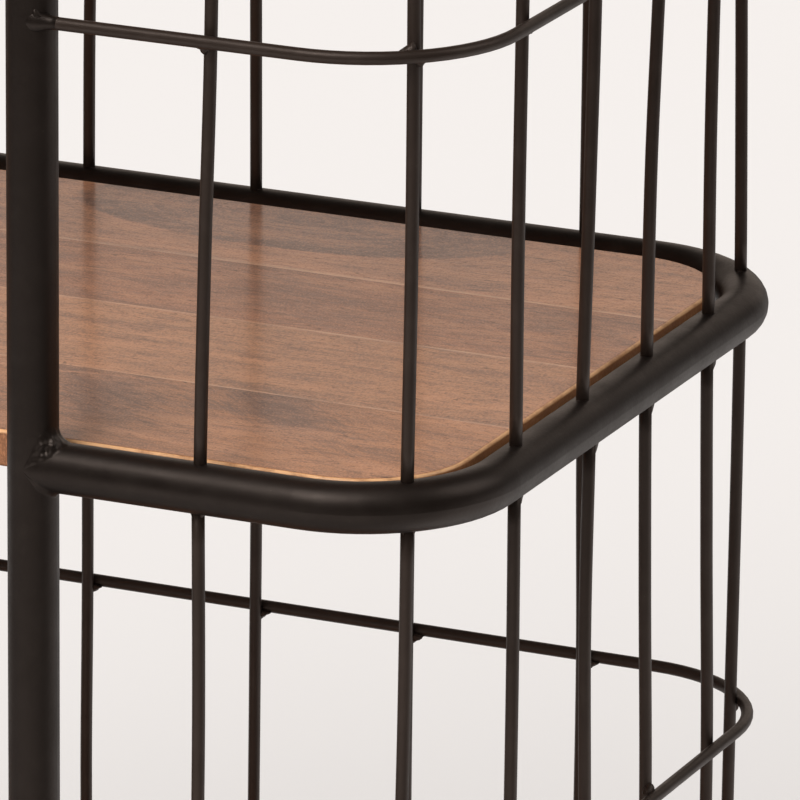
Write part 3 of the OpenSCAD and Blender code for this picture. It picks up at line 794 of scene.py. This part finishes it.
def stray_at(stray, t):
    """The stray in metres at the share t of the height, by a smooth curve through the five values."""
    last = STRAY_HEIGHTS - 1
    f = min(max(t, 0.0), 0.9999) * last
    i = int(f)
    u = f - i
    p = [stray[min(max(i + k, 0), last)] for k in (-1, 0, 1, 2)]
    value = 0.5 * (2 * p[1] + (p[2] - p[0]) * u + (2 * p[0] - 5 * p[1] + 4 * p[2] - p[3]) * u * u
                   + (3 * p[1] - p[0] - 3 * p[2] + p[3]) * u * u * u)
    return value / 1000.0


def small_stray():
    return tuple(dice.uniform(-SMALL_STRAY, SMALL_STRAY) for _ in range(STRAY_HEIGHTS))


def mirrored(v):
    return Vector((-v.x, v.y, v.z))


def lump(bm, at, tangent, outward, size, stretch=1.0, drop=1.0):
    """Adds a lump of weld, its reach along the ring times the stretch and down times the drop."""
    lobe(bm, at + tangent * size.start + outward * size.out, tangent * (size.along * stretch),
         -UP * (size.down * drop), outward * size.side, size.power)


def foot_welds(bm, top, foot, tangent, outward, heavy):
    """The welds of a wire's upper end, under a ring, and of its lower end, on top of one."""
    under = top - UP * UNDER_WELD
    stretch = dice.uniform(0.85, 1.15)
    if heavy:
        lump(bm, under, tangent, outward, HEAVY_LUMP, stretch, stretch)
        lump(bm, under, tangent, outward, HEAVY_HEEL)
    else:
        lump(bm, under, tangent, outward, LIGHT_LUMP, stretch)
        lump(bm, under, tangent, outward, LIGHT_HEEL)
    for way in (-1.0, 1.0):
        lump(bm, foot + UP * TOP_WELD, tangent * way, outward, TOP_LUMP, stretch)


def crossing_weld(bm, place, tangent, outward, way, low=True):
    """A lump in the corner between a wire and the hoop that lies outside it."""
    size = CROSSING_LUMP
    down = -UP if low else UP
    corner = place + outward * size.out + tangent * (way * size.start) + down * CROSSING_DROP
    stretch = dice.uniform(0.85, 1.2)
    lobe(bm, corner, tangent * (way * size.along * stretch), down * (size.down * stretch),
         outward * size.side, size.power, CROSSING_RIPPLE)


def draw_wire(bm, welds, point, tangent, outward, z0, stray, heavy=False, way=1.0):
    """A wire from inside one ring's tube to inside the next, with its welds. Gives its crossing."""
    def at(height):
        return point + tangent * stray_at(stray, height / TIER) + UP * (z0 + height)

    shares = [i / WIRE_STEPS for i in range(WIRE_STEPS + 1)]
    path = [at(WIRE_END + (TIER - 2 * WIRE_END) * share) for share in shares]
    sweep(bm, path, WIRE_R, up=BACKWARDS)
    foot_welds(welds, at(TIER), at(0.0), tangent, outward, heavy)
    crossing = at(HOOP_RISE)
    crossing_weld(welds, crossing, tangent, outward, way)
    return crossing


def side_wires(welds, tier, z0, side_name):
    """The wires of one side. The first one is in front of the even pitch of the others."""
    bm = bmesh.new()
    even = [(i - (SIDE_WIRES - 1) / 2) * SIDE_PITCH - SIDE_LEAD for i in range(SIDE_WIRES)]
    for index, station in enumerate([FRONT_STATION] + even):
        if side_name == "right" and tier in RIGHT_STRAY:
            stray = RIGHT_STRAY[tier][index]
        else:
            stray = small_stray()
        point, tangent = side_point(station)
        outward = Vector((tangent.y, -tangent.x, 0.0))
        if side_name == "left":
            point, tangent, outward = mirrored(point), mirrored(tangent), mirrored(outward)
        way = -1.0 if index == 0 else 1.0
        crossing = draw_wire(bm, welds, point, tangent, outward, z0, stray, index > 1, way)
        if index % 3 == 1:
            crossing_weld(welds, crossing, tangent, outward, -1.0, low=False)
    finish_piece(bm, "%s_wires_%d_drawn" % (side_name, tier), ["%s_wires_%d" % (side_name, tier)],
                 "wire_paint_painted_lighter")


def back_wires(welds, tier, z0):
    """The straight row of wires along the back."""
    bm = bmesh.new()
    for i in range(BACK_WIRES):
        if tier in BACK_STRAY and i >= BACK_STRAY_FROM:
            stray = BACK_STRAY[tier][i - BACK_STRAY_FROM]
        else:
            stray = small_stray()
        point = Vector((i * BACK_PITCH - BACK_WIRE_X, BACK_Y, 0.0))
        draw_wire(bm, welds, point, RIGHTWARDS, BACKWARDS, z0, stray)
    finish_piece(bm, "back_wires_%d_drawn" % tier, ["back_wires_%d" % tier], "wire_paint_painted_lighter")


def wires():
    """The upright wires of every tier, and one piece for the welds of each."""
    for tier in range(1, LEVELS):
        z0 = RING_Z[tier - 1]
        welds = bmesh.new()
        side_wires(welds, tier, z0, "right")
        side_wires(welds, tier, z0, "left")
        back_wires(welds, tier, z0)
        finish_piece(welds, "wire_welds_%d" % tier, paint="wire_paint_painted_lighter")


# Welds of the frame

# The fillet where a ring meets a post: its legs over and under the tube, how many cuts it has and
# parts of a cut, how deep its root is, and how far it stays inside the tube's front and back
SADDLE_TOP = 0.0082
SADDLE_UNDER = 0.0034
SADDLE_STEPS = 72
SADDLE_CUTS = 14
SADDLE_ROOT = 0.0022
SADDLE_MARGIN = 0.00004
# Its surface: how far it lies above the fillet's curve and how much lumps add, both for the plain
# weld and for the crumpled part, which is a stretch of the turn about the post
SADDLE_SWELL = 0.0003
SADDLE_LUMPS = 0.0004
CRUMPLE_SWELL = 0.0009
CRUMPLE_LUMPS = 0.0017
CRUMPLE_FROM = 0.15
CRUMPLE_TURN = 1.45

# The flare of weld at a hoop's end: distance from the post's axis, depth of its middle,
# then half its thickness across and in height
FLARE = (
    (0.0170, 0.00650, 0.00332, 0.00332),
    (0.0140, 0.00655, 0.00345, 0.00350),
    (0.0110, 0.00705, 0.00375, 0.00410),
    (0.0085, 0.00795, 0.00380, 0.00485),
    (0.0060, 0.00885, 0.00365, 0.00545),
    (0.0038, 0.00965, 0.00295, 0.00520),
    (0.0020, 0.01030, 0.00225, 0.00400),
    (0.0008, 0.01075, 0.00120, 0.00180),
)
FLARE_LIFT = 0.0006

FLARE_SIDES = 20
# The lump that ends it: its corner, from the post's middle line at the hoop's height, and its reach
FLARE_LUMP_AT = (0.0068, -0.0090, 0.0036)
FLARE_LUMP_REACH = (0.0038, 0.0028, 0.0046)
FLARE_LUMP_POWER = 0.9

# The beads at the bearers' ends: radius, height over the bar, distance from the tube, and how far
# they reach to each side of a bar's middle, as a share of its width
BAR_BEAD_R = 0.0016
BAR_BEAD_RISE = 0.0004
BAR_BEAD_OFF = 0.0004
CROSS_BAR_SHARE = 0.44
FRONT_BAR_SHARE = 0.42

# The beads at the castor pads: radius, height over the tube's underside, how far inside the ring's
# middle line they run, how far past its bend they start, and their lengths
PAD_BEAD_R = 0.0019
PAD_BEAD_RISE = 0.0010
PAD_BEAD_IN = 0.0056
PAD_BEAD_PAST_BEND = 0.004
PAD_BEAD_LONG = 0.030
PAD_BEAD_SHORT = 0.026


def saddle(bm, post, z, way):
    """The weld where a ring's tube is coped to the round of a post, crumpled on top."""
    for half_side, leg in ((1.0, SADDLE_TOP), (-1.0, SADDLE_UNDER)):
        rows = []
        for k in range(SADDLE_STEPS + 1):
            row = saddle_row(math.pi * k / SADDLE_STEPS, half_side, leg, post, z)
            rows.append([bm.verts.new(Vector((post + way * p.x, p.y - BACK_Y, p.z + z))) for p in row])
        skin(bm, rows)


def saddle_row(turn, half_side, leg, post, z):
    """One cut through the fillet, where the tube meets the post at a turn about the post's axis."""
    r = TUBE_R
    corner = Vector((r * math.sin(turn), -r * math.cos(turn), half_side * r * math.sin(turn)))
    on_tube = Vector((0.0, corner.y, corner.z)) / r
    on_post = Vector((corner.x, corner.y, 0.0)) / r
    rough = 0.0
    if half_side > 0:
        share = min(max((turn - CRUMPLE_FROM) / CRUMPLE_TURN, 0.0), 1.0)
        rough = max(0.0, math.sin(math.pi * share))
    wave = 1.0 + 0.14 * noise.noise(corner * 260.0 + Vector((z * 9.0, post * 5.0, half_side)))
    wave *= min(1.0, 1.6 * math.sin(turn) + 0.02)
    on_ring = corner + Vector((leg * wave, 0.0, 0.0))
    on_side = corner + Vector((0.0, 0.0, half_side * leg * wave * (1.0 + 0.30 * rough)))
    row = []
    for j in range(SADDLE_CUTS + 1):
        t = j / SADDLE_CUTS
        p = on_ring * (1 - t) ** 2 + corner * (2 * t * (1 - t)) + on_side * t ** 2
        lift = (on_tube * (1 - t) + on_post * t).normalized()
        crumple = noise.noise(p * 330.0 + Vector((z * 3.0, post * 7.0, 0.0)))
        swell = SADDLE_SWELL + SADDLE_LUMPS * crumple + rough * (CRUMPLE_SWELL + CRUMPLE_LUMPS * crumple)
        p += lift * (swell * math.sin(math.pi * t) ** 2 - 0.0001)
        p.y = min(max(p.y, SADDLE_MARGIN - r), r - SADDLE_MARGIN)
        row.append(p)
    row.append(corner - (on_tube + on_post).normalized() * SADDLE_ROOT)
    return row


def hoop_flare(bm, post, z, way):
    """The weld at a hoop's end: the bar swells, bends to the post and ends in a lump on top."""
    start = FLARE[0][0]
    path = [Vector((post + way * x, -BACK_Y - y, z + FLARE_LIFT * (1 - x / start)))
            for x, y, _, _ in FLARE]
    sweep(bm, path, [(across, rise) for _, _, across, rise in FLARE], FLARE_SIDES)
    x, y, rise = FLARE_LUMP_AT
    along, side, up = FLARE_LUMP_REACH
    lobe(bm, Vector((post + way * x, y - BACK_Y, z + rise)), RIGHTWARDS * (way * along),
         UP * up, BACKWARDS * side, FLARE_LUMP_POWER)


def bearer_beads(bm, z):
    """The beads at the ends of the cross bars and of the front bar, on top of them beside the tube."""
    bead_z = z - TUBE_R + BAR_T + BAR_BEAD_RISE
    gap = math.sqrt(TUBE_R ** 2 - (TUBE_R - BAR_T) ** 2) + BAR_BEAD_OFF
    reach = BAR_W * CROSS_BAR_SHARE
    for i in range(CROSS_BARS):
        x = (2 * i / (CROSS_BARS - 1) - 1) * END_BAR_X
        bead(bm, Vector((x - reach, BACK_Y - gap, bead_z)), Vector((x + reach, BACK_Y - gap, bead_z)),
             BAR_BEAD_R)
    reach = BAR_W * FRONT_BAR_SHARE
    for side in (-1, 1):
        ends = []
        for y in (FRONT_BAR_Y - reach, FRONT_BAR_Y + reach):
            lean = (-y - SIDE_FLAT) / (BEND_R - gap)
            x = SIDE_X - BEND_R + (BEND_R - gap) * math.sqrt(1 - lean * lean)
            ends.append(Vector((side * x, y, bead_z)))
        bead(bm, ends[0], ends[1], BAR_BEAD_R)


def pad_beads(bm, z):
    """Two beads at each castor pad, along the back or front of the ring and along its side."""
    bead_z = z - TUBE_R + PAD_BEAD_RISE
    for side in (-1, 1):
        for end in (-1, 1):
            x = side * (SIDE_X - BEND_R - PAD_BEAD_PAST_BEND)
            y = end * (BACK_Y - PAD_BEAD_IN)
            bead(bm, Vector((x, y, bead_z)), Vector((x - side * PAD_BEAD_LONG, y, bead_z)), PAD_BEAD_R)
            x = side * (SIDE_X - PAD_BEAD_IN)
            y = end * (BACK_Y - BEND_R - PAD_BEAD_PAST_BEND)
            bead(bm, Vector((x, y, bead_z)), Vector((x, y - end * PAD_BEAD_SHORT, bead_z)), PAD_BEAD_R)


def frame_welds():
    """The welds of each ring with the posts, of the hoop above it, its bearers and its pads."""
    for level, z in enumerate(RING_Z, 1):
        bm = bmesh.new()
        for side in (-1, 1):
            saddle(bm, side * POST_X, z, side)
            if level < LEVELS:
                hoop_flare(bm, side * POST_X, z + HOOP_RISE, side)
        bearer_beads(bm, z)
        if level == 1:
            pad_beads(bm, z)
        finish_piece(bm, "frame_welds_%d" % level)


# Stage and light

BACKDROP = (0.905, 0.866, 0.843)
GLOSS_GLOW = (1.0, 0.85, 0.74)
DARK_ROOM = (0.045, 0.037, 0.033)
SKY = (1.0, 0.985, 0.965)
SKY_STRENGTH = 0.60
PAPER = (0.650, 0.625, 0.612)
PAPER_GLOW = 0.62
FLOOR_HALF = 300.0

# Where gloss sees the floor dark, in metres: from which distance to which it darkens, over which Y
# behind the trolley less so, and over which Y the strip in front fades in and out
FLOOR_DARK = (1.85, 2.5)
FLOOR_BEHIND = (0.0, 1.2)
STRIP_NEAR = (-0.10, -0.35)
STRIP_FAR = (-1.15, -0.75)

# Each lamp: azimuth, elevation and width in degrees, strength, colour and whether gloss shows it
LAMPS = {
    "key_light": (-14.0, 56.0, 27.0, 1.32, (1.0, 0.985, 0.96), True),
    "right_light": (118.0, 40.0, 36.0, 0.42, (1.0, 0.96, 0.92), True),
    "front_fill": (-25.0, 30.0, 60.0, 2.7, (1.0, 0.975, 0.95), False),
}
LAMP_DISTANCE = 4.0


def seen_straight(g, path):
    """1 for what the camera sees, also through glass."""
    return g.math("MAXIMUM", path.outputs["Is Camera Ray"], path.outputs["Is Transmission Ray"])


def choose(g, share, first, second):
    """The first shader, or the second by its share."""
    return g.add("ShaderNodeMixShader", {0: share, 1: first, 2: second}).outputs[0]


def studio_world():
    """A pale sky. Gloss sees it bright at the back, low and to the left, and dark elsewhere."""
    world = bpy.data.worlds.new("studio")
    world.use_nodes = True
    bpy.context.scene.world = world
    g = Graph(world.node_tree)
    path = g.add("ShaderNodeLightPath")
    x, y, z = g.split(g.add("ShaderNodeTexCoord").outputs["Generated"])
    behind = g.span(y, 0.30, 0.65, 0.0, 1.0, True)
    low = g.span(z, 0.58, 0.34, 0.0, 1.0, True)
    left = g.span(x, 0.36, 0.04, 0.0, 1.0, True)
    sheen = g.mix(g.times(g.times(behind, low), left), DARK_ROOM, GLOSS_GLOW)
    lit = g.add("ShaderNodeBackground", {0: SKY, 1: SKY_STRENGTH}).outputs[0]
    gloss = g.add("ShaderNodeBackground", {0: sheen, 1: 1.0}).outputs[0]
    seen = g.add("ShaderNodeBackground", {0: BACKDROP, 1: 1.0}).outputs[0]
    both = choose(g, path.outputs["Is Glossy Ray"], lit, gloss)
    both = choose(g, seen_straight(g, path), both, seen)
    g.add("ShaderNodeOutputWorld", {0: both})


def studio_floor():
    """A pale floor. Gloss sees it glow, but dark far off and dimmed just in front of the trolley."""
    mesh = bpy.data.meshes.new("studio_floor")
    corners = [(-FLOOR_HALF, -FLOOR_HALF, 0), (FLOOR_HALF, -FLOOR_HALF, 0),
               (FLOOR_HALF, FLOOR_HALF, 0), (-FLOOR_HALF, FLOOR_HALF, 0)]
    mesh.from_pydata(corners, [], [(0, 1, 2, 3)])
    floor = bpy.data.objects.new("studio_floor", mesh)
    bpy.context.scene.collection.objects.link(floor)
    mat = bpy.data.materials.new("studio_floor")
    mat.use_nodes = True
    mesh.materials.append(mat)
    g = Graph(mat.node_tree)
    path = g.add("ShaderNodeLightPath")
    glossy = path.outputs["Is Glossy Ray"]
    paper = g.add("ShaderNodeBsdfDiffuse", {0: PAPER}).outputs[0]
    glow = g.add("ShaderNodeEmission", {0: BACKDROP, 1: 1.0}).outputs[0]
    dim = g.add("ShaderNodeEmission", {0: DARK_ROOM, 1: 1.0}).outputs[0]
    both = choose(g, g.times(g.math("MAXIMUM", seen_straight(g, path), glossy), PAPER_GLOW), paper, glow)

    p = g.coords()
    y = g.split(p)[Y]
    far = g.add("ShaderNodeVectorMath", {0: p}, operation="LENGTH").outputs["Value"]
    far = g.times(g.span(far, *FLOOR_DARK, 0.0, 1.0, True), g.span(y, *FLOOR_BEHIND, 1.0, 0.45))
    near = g.times(g.span(y, *STRIP_NEAR), g.span(y, *STRIP_FAR, 0.0, 0.6))
    both = choose(g, g.times(g.math("MAXIMUM", far, near), glossy), both, dim)
    g.add("ShaderNodeOutputMaterial", {0: both})


def lamp(name, azimuth, elevation, angle, strength, colour, glossy):
    """A wide soft lamp. Azimuth 0 is in front of the trolley and 90 at its right."""
    data = bpy.data.lights.new(name, "SUN")
    data.angle = math.radians(angle)
    data.energy = strength
    data.color = colour
    obj = bpy.data.objects.new(name, data)
    a, e = math.radians(azimuth), math.radians(elevation)
    towards = Vector((math.sin(a) * math.cos(e), -math.cos(a) * math.cos(e), math.sin(e)))
    obj.rotation_mode = "QUATERNION"
    obj.rotation_quaternion = towards.to_track_quat("Z", "Y")
    obj.location = towards * LAMP_DISTANCE
    obj.visible_glossy = glossy
    bpy.context.scene.collection.objects.link(obj)


# Everything in order

camera()
materials = make_materials()
dress(materials)
wires()
frame_welds()
studio_world()
studio_floor()
for lamp_name, values in LAMPS.items():
    lamp(lamp_name, *values)
bpy.context.scene.view_settings.view_transform = "Standard"
